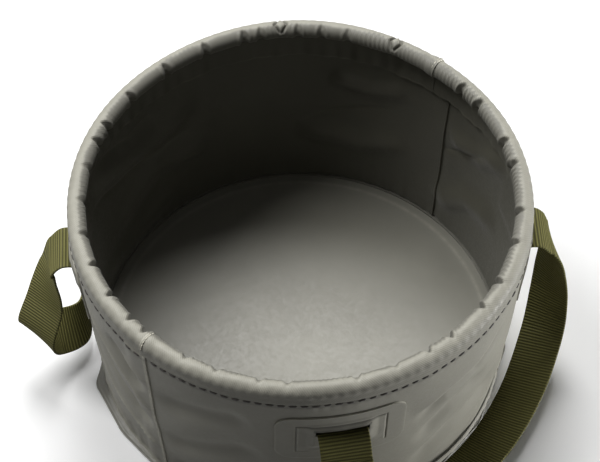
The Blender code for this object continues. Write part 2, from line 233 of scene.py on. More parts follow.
class BowlSizes(bpy.types.PropertyGroup):
    """Sizes of the cloth, the stitching and the webbing."""

    cloth_thickness: length("Cloth Thickness", "Thickness of the coated cloth", 0.0008)
    roll_radius: length("Roll Radius", "Radius of the rolled hem over the cloth", 0.0054)
    gather_depth: length("Gather Depth", "How deep the hem is drawn in at a gather", 0.0021)
    weave_pitch: length("Weave Pitch", "Distance between threads of the coated cloth", 0.00075)
    stitch_pitch: length("Stitch Pitch", "Distance from one stitch to the next", 0.0063)
    stitch_length: length("Stitch Length", "Length of thread that shows in one stitch", 0.0047)
    thread_width: length("Thread Width", "Thickness of the sewing thread", 0.0015)
    webbing_thickness: length("Webbing Thickness", "Thickness of the handle webbing", 0.0016)
    rib_pitch: length("Rib Pitch", "Distance between the webbing's ribs", 0.0019)
    rib_depth: length("Rib Depth", "How deep the grooves are between two ribs", 0.0003)


class BowlColors(bpy.types.PropertyGroup):
    """Colours of the finishes."""

    tarpaulin: color("Wall Cloth", "Outer side of the walls and hem", RECORD_COLORS["tarpaulin"])
    # Much darker than the wall cloth: partly the inner side's own tone, partly painted shade of the bowl's
    # inside; the flap wears it on both faces.
    lining: color("Lining", "Inner side of the coated cloth", (0.076, 0.073, 0.055))
    base_cloth: color("Base Cloth", "The floor of the bowl and its welded foot", RECORD_COLORS["base cloth"])
    webbing: color("Webbing", "The handles", RECORD_COLORS["olive webbing"])
    thread: color("Thread", "The sewing thread of the long rows", (0.014, 0.010, 0.007))
    light_thread: color("Light Thread", "The fine thread of the joints over the roll", (0.42, 0.40, 0.33))
    ring_plastic: color("Ring", "The springy ring in the hem", RECORD_COLORS["ring plastic"])
    joiner_metal: color("Joiner", "The pin that joins the ring's ends", RECORD_COLORS["joiner metal"])


# ---------------------------------------------------------------- shapes


def polar(radius, azimuth, height):
    """Points at radii and azimuths in degrees round the bowl's axis."""
    turn = np.radians(azimuth)
    radius, turn, height = np.broadcast_arrays(radius, turn, height)
    return np.stack([radius * np.cos(turn), radius * np.sin(turn), height], axis=-1)


def cylindrical(points):
    """Azimuth in degrees, radius and height of points."""
    x, y, height = points.T
    return np.degrees(np.arctan2(y, x)), np.hypot(x, y), height


def turned(azimuth, middle):
    """Degrees from the middle, the short way round."""
    return (azimuth - middle + 180) % 360 - 180


def arc(degrees):
    """Metres along the ring for degrees round it."""
    return np.radians(degrees) * RING_RADIUS


def roll_turn(radius, height):
    """Degrees round the roll's section, from its outer side over the top and down its inner side."""
    turn = np.degrees(np.arctan2(height - RIM_HEIGHT, radius - RING_RADIUS))
    return np.where(turn < -100, turn + 360, turn)


def ease(x):
    """0 to 1 with soft ends."""
    x = np.clip(x, 0.0, 1.0)
    return x * x * (3 - 2 * x)


def hump(x, half_width):
    """1 at nought, falling softly to 0 on both sides."""
    return np.exp(-((x / half_width) ** 2))


def wall_radius(height):
    """Outer radius of the straight wall, which narrows towards the base."""
    return WALL_RADIUS_AT_RIM - WALL_TAPER * (RIM_HEIGHT - height)


def rim_shift(azimuth):
    """The mouth isn't quite round: it is a little flatter at both sides of the back."""
    flat = hump(turned(azimuth, 127), 24) + 1.1 * hump(turned(azimuth, 55), 24)
    return -0.0012 * flat


def line_distance(azimuth, height, points):
    """How far places on the wall lie from a line drawn on it, and how much of it is left at its ends."""
    nearest = np.full(np.shape(azimuth + height), 1.0)
    share = np.zeros_like(nearest)
    pieces = len(points) - 1
    for k in range(pieces):
        (start, low), (end, high) = points[k], points[k + 1]
        x, y = arc(turned(azimuth, start)), height - low
        run_x, run_y = arc(end - start), high - low
        along = np.clip((x * run_x + y * run_y) / (run_x**2 + run_y**2), 0, 1)
        away = np.hypot(x - run_x * along, y - run_y * along)
        closer = away < nearest
        nearest = np.where(closer, away, nearest)
        share = np.where(closer, (k + along) / pieces, share)
    return nearest, ease(share * 4) * ease((1 - share) * 4 + 0.15)


def patch_azimuths():
    """The azimuth of each handle patch by its name."""
    found = {}
    for kind, middle in HANDLE_AZIMUTHS.items():
        found[f"{kind}_a"] = middle + SLOT_OFFSET_DEG
        found[f"{kind}_b"] = middle - SLOT_OFFSET_DEG
    return found


def under_patch(azimuth, height):
    """1 where a patch is welded on and holds the wall flat, and 0 away from the patches."""
    cover = np.zeros(np.shape(azimuth + height))
    for middle in patch_azimuths().values():
        across = np.abs(arc(turned(azimuth, middle)))
        beside = ease((PATCH_WIDTH / 2 + 0.006 - across) / 0.010)
        over = ease((height - PATCH_BOTTOM + 0.006) / 0.010) * ease((PATCH_TOP + 0.006 - height) / 0.010)
        cover = np.maximum(cover, beside * over)
    return cover


def wall_relief(azimuth, height):
    """How far the worn wall stands out from the straight one."""
    out = np.zeros(np.shape(azimuth + height))
    for points, depth, width in HOLLOWS:
        away, share = line_distance(azimuth, height, points)
        out = out - FOLD_GAIN * depth * share * hump(away, width)
    for points, rise, width in CREASES:
        away, share = line_distance(azimuth, height, points)
        out = out + FOLD_GAIN * rise * share * np.exp(-away / width)
    turn = np.radians(azimuth)
    body = np.sin(np.pi * np.clip(height / WALL_TOP, 0, 1))
    out = out + body * 0.0007 * (0.6 + np.sin(3 * turn + 1.0) + 0.6 * np.sin(7 * turn + 9 * height / 0.15))
    out = out + body * 0.00025 * np.sin(19 * turn + 40 * height) * np.sin(60 * height + 2 * turn)
    foot = np.exp(-height / 0.011)
    ripple = np.sin(61 * turn) + 0.7 * np.sin(97 * turn + 1.3) + 0.5 * np.sin(143 * turn + 0.4)
    out = out + foot * 0.00028 * ripple * (0.5 + 0.5 * np.sin(5 * turn + 2))
    out = out * (1 - 0.85 * under_patch(azimuth, height))
    top = ease((height - 0.128) / 0.016)
    return out * (1 - top)


def sewn_relief(azimuth, height, pitch):
    """The draw of the sewn row on the cloth just below the hem."""
    row = hump(height - WALL_ROW, 0.0014)
    near = hump(height - WALL_ROW + 0.0019, 0.0045)
    stitch = np.cos(2 * np.pi * arc(azimuth) / pitch)
    slow = np.sin(23 * np.radians(azimuth)) + np.sin(37 * np.radians(azimuth) + 1)
    return -0.0003 * row - 0.00009 * near * stitch + 0.00012 * near * slow


def lap_lift(left):
    """How far the end of a panel is lifted over the next one, by the degrees left to its welded edge."""
    return LAP_RISE * ease((8.2 - left) / 3.5) * (1 - 0.25 * ease((0.42 - left) / 0.36))


def wall_surface(azimuth, height, pitch):
    """Radius of the wall's outer face at any place."""
    shift = rim_shift(azimuth) * np.clip(height / RIM_HEIGHT, 0, 1) ** 2
    return wall_radius(height) + shift + wall_relief(azimuth, height) + sewn_relief(azimuth, height, pitch)


# ---------------------------------------------------------------- modelling steps


def deselect():
    bpy.ops.object.select_all(action="DESELECT")


def read_points(mesh):
    points = np.zeros(len(mesh.vertices) * 3)
    mesh.vertices.foreach_get("co", points)
    return points.reshape(-1, 3)


def write_points(mesh, points):
    mesh.vertices.foreach_set("co", np.ascontiguousarray(points, dtype=np.float32).ravel())
    mesh.update()


def change_map(mesh, change):
    """Set a mesh's map anew: change takes its rows of u and v, and gives new ones."""
    layer = mesh.uv_layers.active.data
    uv = np.zeros(len(mesh.loops) * 2)
    layer.foreach_get("uv", uv)
    layer.foreach_set("uv", change(uv.reshape(-1, 2)).ravel())


def edit(*steps):
    """Run edit mode steps on all of the active piece."""
    bpy.ops.object.mode_set(mode="EDIT")
    bpy.ops.mesh.select_all(action="SELECT")
    for step in steps:
        step()
    bpy.ops.object.mode_set(mode="OBJECT")


def merge_close():
    bpy.ops.mesh.remove_doubles(threshold=0.000004)


def outward():
    bpy.ops.mesh.normals_make_consistent(inside=False)


def cloth_sheet(name, columns, rows, place, size, closed=False):
    """A grid bent into place: place takes 0 to 1 across and up, and gives points. UVs are in metres."""
    deselect()
    bpy.ops.mesh.primitive_grid_add(x_subdivisions=columns, y_subdivisions=rows, size=1)
    piece = bpy.context.object
    piece.name = piece.data.name = name
    mesh = piece.data
    flat = read_points(mesh)
    change_map(mesh, lambda uv: uv * np.array(size))
    write_points(mesh, place(flat[:, 0] + 0.5, flat[:, 1] + 0.5))
    if closed:
        edit(merge_close)
    return piece


def apply_modifiers(piece):
    deselect()
    piece.select_set(True)
    bpy.context.view_layer.objects.active = piece
    for name in [modifier.name for modifier in piece.modifiers]:
        bpy.ops.object.modifier_apply(modifier=name)


def thicken(piece, thickness, face, back):
    """Give a sheet its thickness behind its face, with a finish for each side, and smooth it."""
    for look in (face, back):
        piece.data.materials.append(finish(look))
    cloth = piece.modifiers.new("Thickness", "SOLIDIFY")
    cloth.thickness = thickness
    cloth.offset = -1
    cloth.use_even_offset = True
    cloth.use_quality_normals = True
    cloth.material_offset = 1
    apply_modifiers(piece)
    bpy.ops.object.shade_smooth_by_angle(angle=math.radians(45))


def note(piece, name, amount):
    """Store a share from 0 to 1 at each point for the finish to read, such as wear with painted highlights, and
    painted shade.
    """
    noted = piece.data.attributes.new(name, "FLOAT", "POINT")
    noted.data.foreach_set("value", np.clip(amount(read_points(piece.data)), 0, 1).astype(np.float32))


def settle(piece, body, nodes=(), squash=None):
    """Hand a finished piece to the body that carries it and hide its nodes; a piece that has a squash gets a
    mesh of its own.
    """
    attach(piece, body)
    if nodes:
        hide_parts(*nodes)
    if squash:
        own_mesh(piece)


# ---------------------------------------------------------------- finishes


class Finish:
    """A material built from nodes, laid out by small steps."""

    def __init__(self, name, base, roughness, specular=0.5, metallic=0.0, sheen=0.0):
        self.look = bpy.data.materials.new(name)
        self.look.use_nodes = True
        self.look.diffuse_color = (*base, 1.0)
        self.nodes = self.look.node_tree.nodes
        self.links = self.look.node_tree.links
        self.shader = self.nodes["Principled BSDF"]
        self.shader.inputs["Base Color"].default_value = (*base, 1.0)
        self.shader.inputs["Roughness"].default_value = roughness
        self.shader.inputs["Specular IOR Level"].default_value = specular
        self.shader.inputs["Metallic"].default_value = metallic
        self.shader.inputs["Sheen Weight"].default_value = sheen

    def put(self, socket, value):
        if isinstance(value, bpy.types.NodeSocket):
            self.links.new(value, socket)
        else:
            socket.default_value = value

    def math(self, operation, first, second=0.0, third=0.0):
        node = self.nodes.new("ShaderNodeMath")
        node.operation = operation
        for socket, value in zip(node.inputs, (first, second, third)):
            self.put(socket, value)
        return node.outputs[0]

    def cloth_place(self):
        """Metres across and along the cloth, from the piece's own map."""
        parts = self.nodes.new("ShaderNodeSeparateXYZ")
        self.put(parts.inputs[0], self.nodes.new("ShaderNodeTexCoord").outputs["UV"])
        return parts.outputs[0], parts.outputs[1]

    def space(self):
        return self.nodes.new("ShaderNodeTexCoord").outputs["Object"]

    def noise(self, place, scale, detail, roughness):
        node = self.nodes.new("ShaderNodeTexNoise")
        self.put(node.inputs["Vector"], place)
        node.inputs["Scale"].default_value = scale
        node.inputs["Detail"].default_value = detail
        node.inputs["Roughness"].default_value = roughness
        return node.outputs["Fac"]

    def ramp(self, value, low, high, to_low=0.0, to_high=1.0):
        node = self.nodes.new("ShaderNodeMapRange")
        for socket, number in zip(node.inputs, (value, low, high, to_low, to_high)):
            self.put(socket, number)
        return node.outputs[0]

    def mix(self, share, first, second):
        node = self.nodes.new("ShaderNodeMix")
        node.data_type = "RGBA"
        self.put(node.inputs["Factor"], share)
        self.put(node.inputs["A"], (*first, 1.0) if isinstance(first, tuple) else first)
        self.put(node.inputs["B"], (*second, 1.0) if isinstance(second, tuple) else second)
        return node.outputs["Result"]

    def drift(self, base, grain, darker, lighter):
        """A tone that drifts between a darker and a lighter one."""
        return self.mix(self.ramp(grain, 0.3, 0.7), shade(base, darker), shade(base, lighter))

    def attribute(self, name):
        node = self.nodes.new("ShaderNodeAttribute")
        node.attribute_name = name
        return node.outputs["Fac"]

    def bump(self, height, distance, strength=1.0, under=None):
        node = self.nodes.new("ShaderNodeBump")
        node.inputs["Strength"].default_value = strength
        node.inputs["Distance"].default_value = distance
        self.put(node.inputs["Height"], height)
        if under is not None:
            self.put(node.inputs["Normal"], under)
        return node.outputs[0]

    def done(self, tint=None, roughness=None, normal=None):
        for name, value in (("Base Color", tint), ("Roughness", roughness), ("Normal", normal)):
            if value is not None:
                self.put(self.shader.inputs[name], value)
        return self.look


def shade(base, factor):
    """A colour made lighter or darker."""
    return tuple(min(channel * factor, 1.0) for channel in base)


def coated_cloth(name, base, pitch, weave=1.0, gloss=0.5, twill=0.0):
    """Coated woven cloth: a faint weave under a satin skin, lighter where worn and with painted highlights on
    ridges and edges, and darker with painted shade.
    """
    made = Finish(name, base, gloss, specular=0.42, sheen=0.08)
    across, along = made.cloth_place()
    leant = made.math("MULTIPLY_ADD", along, twill, across)
    warp = made.math("SINE", made.math("MULTIPLY", leant, 2 * math.pi / pitch))
    weft = made.math("SINE", made.math("MULTIPLY", along, 2 * math.pi / pitch))
    plain = made.math("MULTIPLY", warp, weft)
    threads = made.math("MULTIPLY_ADD", warp, twill, made.math("MULTIPLY", plain, 1 - twill))
    space = made.space()
    broad = made.noise(space, 14.0, 4.0, 0.6)
    fine = made.noise(space, 420.0, 3.0, 0.6)
    wear_and_highlight = made.attribute("wear_and_highlight")
    rubbed_and_lit = made.math("MULTIPLY", wear_and_highlight, made.ramp(made.noise(space, 160.0, 5.0, 0.7), 0.38, 0.62, 0.45, 1.0))
    tone = made.drift(base, broad, 0.90, 1.08)
    tone = made.mix(made.ramp(threads, -1.0, 1.0, 0.0, 0.20 * weave), tone, shade(base, 0.6))
    # Lighter where wear and painted highlights are stored.
    tone = made.mix(made.math("MULTIPLY", rubbed_and_lit, 0.85), tone, shade(base, 2.3))
    # Darker where painted shade is stored.
    tone = made.mix(made.math("MULTIPLY", made.attribute("painted_shade"), 0.75), tone, shade(base, 0.3))
    rough = made.ramp(fine, 0.3, 0.7, gloss - 0.07, gloss + 0.08)
    rough = made.math("ADD", rough, made.math("MULTIPLY", rubbed_and_lit, 0.06))
    skin = made.bump(fine, 0.00004, 0.6)
    normal = made.bump(threads, 0.00003 * weave, 0.8, skin)
    return made.done(tone, rough, normal)


def webbing_finish(name, base, pitch):
    """Ribbed webbing: ribs of small woven knots run across it, with painted shade in the grooves between and
    painted highlights on the ribs.
    """
    made = Finish(name, base, 0.6, specular=0.12)
    across, along = made.cloth_place()
    wave = made.math("COSINE", made.math("MULTIPLY", along, 2 * math.pi / pitch))
    ribs = made.ramp(wave, 1.0, -1.0)
    odd = made.math("MODULO", made.math("FLOOR", made.math("DIVIDE", along, pitch)), 2.0)
    offset = made.math("MULTIPLY_ADD", odd, math.pi / 2, made.math("MULTIPLY", across, math.pi / 0.0011))
    knots = made.math("ABSOLUTE", made.math("SINE", offset))
    height = made.math("MULTIPLY", ribs, made.ramp(knots, 0.0, 1.0, 0.8, 1.0))
    space = made.space()
    broad = made.noise(space, 30.0, 4.0, 0.6)
    fuzz = made.noise(space, 1500.0, 2.0, 0.6)
    tone = made.drift(base, broad, 0.85, 1.15)
    # Painted shade in the grooves between the ribs.
    tone = made.mix(made.ramp(height, 0.1, 0.5, 0.55, 0.0), tone, shade(base, 0.2))
    # Painted highlights on the ribs' tops.
    tone = made.mix(made.ramp(height, 0.45, 0.9, 0.0, 0.7), tone, shade(base, 1.9))
    rough = made.ramp(fuzz, 0.3, 0.7, 0.45, 0.68)
    normal = made.bump(height, 0.0003, 0.8, made.bump(fuzz, 0.00005, 0.5))
    return made.done(tone, rough, normal)


def thread_finish(name, base):
    """Waxed sewing thread: two strands twisted together."""
    made = Finish(name, base, 0.5, specular=0.4, sheen=0.1)
    space = made.space()
    twist = made.noise(space, 900.0, 2.0, 0.5)
    tone = made.drift(base, twist, 0.6, 1.6)
    return made.done(tone, made.ramp(twist, 0.3, 0.7, 0.4, 0.6), made.bump(twist, 0.0001, 0.7))


def hard_finish(name, base, roughness, metallic):
    """Moulded or turned hard parts, with a fine grain and faint scuffs."""
    made = Finish(name, base, roughness, specular=0.5, metallic=metallic)
    space = made.space()
    grain = made.noise(space, 700.0, 3.0, 0.6)
    scuff = made.noise(space, 90.0, 5.0, 0.7)
    tone = made.mix(made.ramp(scuff, 0.5, 0.8, 0.0, 0.3), shade(base, 0.95), shade(base, 1.8))
    rough = made.ramp(grain, 0.3, 0.7, roughness - 0.06, roughness + 0.1)
    return made.done(tone, rough, made.bump(grain, 0.00003, 0.5))


def floor_finish():
    """Matt pale floor that the camera sees as near white."""
    look = bpy.data.materials.new("pale floor")
    look.use_nodes = True
    nodes, links = look.node_tree.nodes, look.node_tree.links
    nodes.clear()
    seen, other = nodes.new("ShaderNodeBsdfDiffuse"), nodes.new("ShaderNodeBsdfDiffuse")
    seen.inputs["Color"].default_value = (0.9, 0.9, 0.9, 1)
    other.inputs["Color"].default_value = (0.32, 0.32, 0.32, 1)
    path, choose = nodes.new("ShaderNodeLightPath"), nodes.new("ShaderNodeMixShader")
    links.new(path.outputs["Is Camera Ray"], choose.inputs[0])
    links.new(other.outputs[0], choose.inputs[1])
    links.new(seen.outputs[0], choose.inputs[2])
    links.new(choose.outputs[0], nodes.new("ShaderNodeOutputMaterial").inputs["Surface"])
    return look


def finish(name):
    """A finish by its name, made once."""
    found = bpy.data.materials.get(name)
    if found:
        return found
    sizes, colors = bpy.context.scene.bowl_sizes, bpy.context.scene.bowl_colors
    pitch = sizes.weave_pitch
    makers = {
        "coated cloth": (coated_cloth, colors.tarpaulin, pitch, 0.7, 0.5),
        "hem cloth": (coated_cloth, colors.tarpaulin, pitch * 1.8, 2.2, 0.54, 0.7),
        "cloth lining": (coated_cloth, colors.lining, pitch, 0.8, 0.42),
        "floor cloth": (coated_cloth, colors.base_cloth, pitch, 0.8, 0.42),
        "ribbed webbing": (webbing_finish, colors.webbing, sizes.rib_pitch),
        "sewing thread": (thread_finish, colors.thread),
        "light thread": (thread_finish, colors.light_thread),
        "smooth tube": (hard_finish, colors.ring_plastic, 0.4, 0.0),
        "turned pin": (hard_finish, colors.joiner_metal, 0.35, 1.0),
    }
    maker, base, *numbers = makers[name]
    return maker(name, tuple(base), *numbers)


# ---------------------------------------------------------------- pieces


def build_wall(side, start):
    """One wall panel, whose far end is lifted and laps over the next panel."""
    sizes = bpy.context.scene.bowl_sizes
    sweep = 180 + LAP_DEG
    bottom, tuck = 0.0023, 0.0014

    def place(across, up):
        azimuth = start + sweep * across
        height = bottom + (WALL_TOP + tuck - bottom) * up
        inside = ease((height - WALL_TOP + 0.0006) / 0.0009)
        seen = np.minimum(height, WALL_TOP)
        radius = wall_surface(azimuth, seen, sizes.stitch_pitch) - 0.00105 * inside
        radius = radius + lap_lift(start + sweep - azimuth) * (1 - 0.25 * inside)
        flare = np.clip((0.0050 - height) / 0.0027, 0, 1)
        return polar(radius + 0.0013 * flare**2, azimuth, height)

    size = (math.radians(sweep) * WALL_MEAN_RADIUS, WALL_TOP - bottom)
    wall = cloth_sheet(f"wall_{side}", 368, 112, place, size)
    thicken(wall, sizes.cloth_thickness, "coated cloth", "cloth lining")

    def worn_and_lit(points):
        azimuth, _, height = cylindrical(points)
        edge = np.abs(arc(turned(azimuth, start + sweep)))
        # Painted highlight along the lapping edge, and a little lighter in a band just under the roll and
        # towards the foot.
        wear_and_highlight_here = [
            2.2 * hump(edge - 0.0003, 0.0011),
            0.2 * hump(height - 0.1459, 0.0005),
            0.2 * ease((0.005 - height) / 0.004),
        ]
        # Lighter along the crease ridges: painted highlights, partly wear on the ridges.
        for line, rise, _ in CREASES:
            away, share = line_distance(azimuth, height, line)
            wear_and_highlight_here.append(share * np.exp(-away / 0.0009) * (rise / 0.0009) ** 2)
        return np.max(wear_and_highlight_here, axis=0)

    note(wall, "wear_and_highlight", worn_and_lit)
    # Painted shade in a band just below the sewn row, under the roll.
    note(wall, "painted_shade", lambda points: 0.5 * hump(points[:, 2] - 0.1428, 0.0011))
    settle(wall, "root", [f"wall_panel_{side}"], WALL_SQUASH)


def hem_section(roll):
    """Outline of the hem's outer face: up from the wall, over the ring and in under it, in even steps."""
    line = [(wall_radius(z), z) for z in (0.1461, 0.1468, 0.1475)]
    line += [(0.14002, 0.1485), (0.13985, 0.1496)]
    for turn in range(-14, 246, 6):
        angle = math.radians(turn)
        line.append((RING_RADIUS + roll * math.cos(angle), RIM_HEIGHT + roll * math.sin(angle)))
    line += [(0.1338, 0.1468), (0.1352, 0.1465), (0.1366, 0.1463)]
    line += [(wall_radius(FLAP_TOP) - FLAP_INSET, FLAP_TOP)]
    line = np.array(line)
    steps = np.r_[0, np.cumsum(np.hypot(*np.diff(line, axis=0).T))]
    even = np.linspace(0, steps[-1], 300)
    dense = np.stack([np.interp(even, steps, line[:, k]) for k in (0, 1)], axis=-1)
    for _ in range(10):
        dense[1:-1] = (dense[:-2] + 2 * dense[1:-1] + dense[2:]) / 4
    return dense, steps[-1]


def pleats(along, phase=0.0):
    """Fine uneven pleats of the roll, from -1 to 1, by the metres along it."""
    wave = np.sin(2 * np.pi * along / 0.0031 + phase + 1.5 * np.sin(along / 0.019))
    return wave * (0.6 + 0.4 * np.sin(along / 0.011))


def gather_relief(azimuth, turn):
    """How far the rolled cloth puffs out or is drawn in, as a share of a full gather's depth.

    A gather is a bite that opens from the top of the roll towards its inner side, between two ridges.
    """
    opening = np.clip((turn - 72) / 80, 0, 1)
    inside = ease((turn - 72) / 55) * ease((262 - turn) / 36)
    over = ease((turn - 42) / 50) * ease((262 - turn) / 40)
    drawn = np.zeros_like(azimuth)
    raised = np.zeros_like(azimuth)
    nearest = np.full_like(azimuth, 1.0)
    for middle, share in GATHERS:
        off = arc(turned(azimuth, middle))
        nearest = np.minimum(nearest, np.abs(off))
        bite = np.clip(1.2 - 1.2 * np.abs(off) / (0.0006 + 0.0026 * opening), 0, 1)
        drawn = np.maximum(drawn, share * inside * bite)
        drawn = np.maximum(drawn, share * over * 0.18 * hump(off, 0.0022))
        ridge = hump(off - 0.0017 - 0.0019 * opening, 0.0014)
        ridge = ridge + 0.6 * hump(off + 0.0017 + 0.0021 * opening, 0.0014)
        raised = np.maximum(raised, 0.42 * share * inside * ridge)
    for middle in TUCKS:
        off = arc(turned(azimuth, middle))
        away = np.abs(turn - TUCK_TURN)
        spread = 0.0040 * np.clip(1 - away / 80, 0, 1)
        within = ease((80 - away) / 20)
        for side in (-1, 1):
            drawn = np.maximum(drawn, within * hump(off - side * spread, 0.0009))
        raised = np.maximum(raised, 0.25 * within * hump(off, 0.0018))
        nearest = np.minimum(nearest, np.abs(off))
    puff = 0.30 * (1 - hump(nearest, 0.007)) * over
    along = arc(azimuth)
    sides = 0.25 + 0.75 * hump(turned(azimuth, 2), 60)
    rope = ease((turn - 100) / 40) * ease((250 - turn) / 30) * sides
    pleat = 0.2 * pleats(along, np.radians(turn) * 2.2)
    ripple = 0.05 * np.sin(2 * np.pi * along / 0.0063) * ease((turn + 30) / 30) * ease((80 - turn) / 60)
    return puff + raised - drawn + rope * pleat + ripple


def build_hem(side, start):
    """One half of the rolled hem, whose first end laps over the end of the other half."""
    sizes = bpy.context.scene.bowl_sizes
    section, girth = hem_section(sizes.roll_radius)
    last = len(section) - 1
    overlap = 1.5
    sweep = 180 - 0.15 + overlap

    def place(across, up):
        azimuth = start - overlap + sweep * across
        k = up * last
        radius = np.interp(k, range(last + 1), section[:, 0])
        height = np.interp(k, range(last + 1), section[:, 1])
        turn = roll_turn(radius, height)
        on_roll = ease((up - 0.06) / 0.1) * ease((0.97 - up) / 0.08)
        out = sizes.gather_depth * gather_relief(azimuth, turn) * on_roll
        out = out + 0.0007 * ease(1 - (azimuth - start) / 2.2) * np.clip(0.2 + on_roll, 0, 1)
        angle = np.radians(turn)
        radius = radius + out * np.cos(angle) + rim_shift(azimuth)
        return polar(radius, azimuth, height + out * np.sin(angle))

    size = (math.radians(sweep) * RING_RADIUS, girth)
    hem = cloth_sheet(f"rolled_hem_{side}", 1040, 44, place, size)
    thicken(hem, sizes.cloth_thickness, "hem cloth", "cloth lining")

    def worn_and_lit(points):
        azimuth, radius, height = cylindrical(points)
        # The roll's top is lighter: partly wear, partly a painted highlight where the light falls.
        top = hump(roll_turn(radius, height) - 80, 55) * (height > RIM_HEIGHT)
        edge = np.abs(arc(turned(azimuth, start - overlap)))
        return 0.15 * top + 0.8 * hump(edge, 0.0006)

    # Painted shade in the gathers' bites and over the roll's inner half, whose edge is toothed.
    def painted_shade_at(points):
        azimuth, radius, height = cylindrical(points)
        turn, along = roll_turn(radius, height), arc(azimuth)
        bites = -1.6 * gather_relief(azimuth, turn) - 0.15
        teeth = pleats(along) * (0.35 + 0.65 * hump(turned(azimuth, 20), 50))
        teeth = teeth + 0.8 * np.sin(along / 0.0093) * np.sin(along / 0.0041)
        rear = ease((135 - np.abs(turned(azimuth, 85))) / 35)
        return np.maximum(bites, (0.72 + 0.12 * rear) * ease((turn - 112 + 14 * rear - 11 * teeth) / 18))

    note(hem, "wear_and_highlight", worn_and_lit)
    note(hem, "painted_shade", painted_shade_at)
    settle(hem, "rim", [f"rim_hem_{side}"])
    build_flap(side, start)


def build_flap(side, start):
    """The free edge of the hem's cloth, which hangs down inside the wall below the roll."""
    sizes = bpy.context.scene.bowl_sizes

    def place(across, up):
        azimuth = start + 0.1 + 179.8 * across
        height = FLAP_TOP - (FLAP_TOP - FLAP_BOTTOM) * up
        turn = np.radians(azimuth)
        radius = wall_radius(height) - FLAP_INSET + rim_shift(azimuth)
        radius = radius - 0.0004 * up * (1 + np.sin(31 * turn)) - 0.0003 * up * np.sin(83 * turn + 1)
        radius = radius - 0.00025 * hump(height - FLAP_ROW, 0.0012)
        return polar(radius, azimuth, height + 0.0005 * up * np.sin(17 * turn))

    size = (math.pi * 0.1372, FLAP_TOP - FLAP_BOTTOM)
    flap = cloth_sheet(f"hem_flap_{side}", 420, 24, place, size)
    # Both faces take the dark lining, though the face towards the middle is the cloth's outer side: painted
    # shade under the roll.
    thicken(flap, sizes.cloth_thickness, "cloth lining", "cloth lining")
    note(flap, "wear_and_highlight", lambda points: 0.6 * ease((FLAP_BOTTOM + 0.0012 - points[:, 2]) / 0.0012))
    settle(flap, "rim", squash=FLAP_SQUASH)


def one_stitch(name, length_seen, width, look):
    """A single stitch: a short bar of thread whose ends dip into the cloth."""
    deselect()
    bpy.ops.mesh.primitive_cylinder_add(vertices=6, radius=width / 2, depth=length_seen)
    stitch = bpy.context.object
    stitch.name = stitch.data.name = name
    bpy.ops.object.mode_set(mode="EDIT")
    for side in (-0.3, 0.3):
        bpy.ops.mesh.select_all(action="SELECT")
        bpy.ops.mesh.bisect(plane_co=(0, 0, length_seen * side), plane_no=(0, 0, 1))
    bpy.ops.object.mode_set(mode="OBJECT")
    points = read_points(stitch.data)
    end = np.abs(points[:, 2]) > length_seen * 0.4
    points[end, :2] *= 0.6
    points[end, 0] -= width * 0.4
    points[:, 0] *= 0.75
    write_points(stitch.data, points)
    stitch.data.materials.append(finish(look))
    stitch.data.shade_smooth()
    return stitch


def stitch_row(name, places, body, squash=None, look="sewing thread", share=1.0):
    """Copies of one stitch along a row. Each place is its middle, outward way, run and stretch."""
    sizes = bpy.context.scene.bowl_sizes
    first = one_stitch(name, sizes.stitch_length * share, sizes.thread_width * share, look)
    shape = read_points(first.data)
    copies = []
    for middle, out, run, scale in places:
        copy = first.copy()
        copy.data = first.data.copy()
        bpy.context.scene.collection.objects.link(copy)
        side = np.cross(run, out)
        axes = np.stack([out, side, run * scale])
        write_points(copy.data, shape @ axes + middle)
        copies.append(copy)
    bpy.data.objects.remove(first)
    deselect()
    for copy in copies:
        copy.select_set(True)
    bpy.context.view_layer.objects.active = copies[0]
    bpy.ops.object.join()
    row = bpy.context.object
    row.name = row.data.name = name
    edit(outward)
    settle(row, body, squash=squash)


def rim_row_places(start, height, radius_at, outward_way, margin):
    """Middles and directions of the stitches of one panel's row."""
    pitch = bpy.context.scene.bowl_sizes.stitch_pitch
    sweep = math.radians(180 - 2 * margin)
    count = round(sweep * RING_RADIUS / pitch)
    places = []
    for k in range(count):
        azimuth = start + margin + math.degrees(sweep) * (k + 0.5) / count
        radius = float(radius_at(np.array([azimuth]), np.array([height]))[0])
        middle = polar(radius, azimuth, height + 0.00012 * math.sin(k * 2.4))
        out = polar(outward_way, azimuth, 0.0)
        tilt = 0.05 * math.sin(k * 1.7)
        run = polar(math.cos(tilt), azimuth + 90, math.sin(tilt))
        places.append((middle, out, run, 1.0 + 0.08 * math.sin(k * 3.1)))
    return places


def joint_places(start):
    """Fine stitches over the roll beside the end of one half of the hem."""
    roll = bpy.context.scene.bowl_sizes.roll_radius + 0.0011
    azimuth = start - 0.75
    places = []
    for turn in range(4, 160, 26):
        angle = math.radians(turn)
        out_way = RING_RADIUS + float(rim_shift(azimuth)) + roll * math.cos(angle)
        middle = polar(out_way, azimuth, RIM_HEIGHT + roll * math.sin(angle))
        out = polar(math.cos(angle), azimuth, math.sin(angle))
        run = polar(-math.sin(angle), azimuth, math.cos(angle))
        places.append((middle, out, run, 1.0))
    return places


def patch_half_width(height):
    """Half the patch's width at a height, less towards its rounded corners."""
    into = np.maximum(PATCH_BOTTOM + PATCH_CORNER - height, height - PATCH_TOP + PATCH_CORNER)
    into = np.clip(into, 0, PATCH_CORNER)
    return PATCH_WIDTH / 2 - PATCH_CORNER + np.sqrt(PATCH_CORNER**2 - into**2)


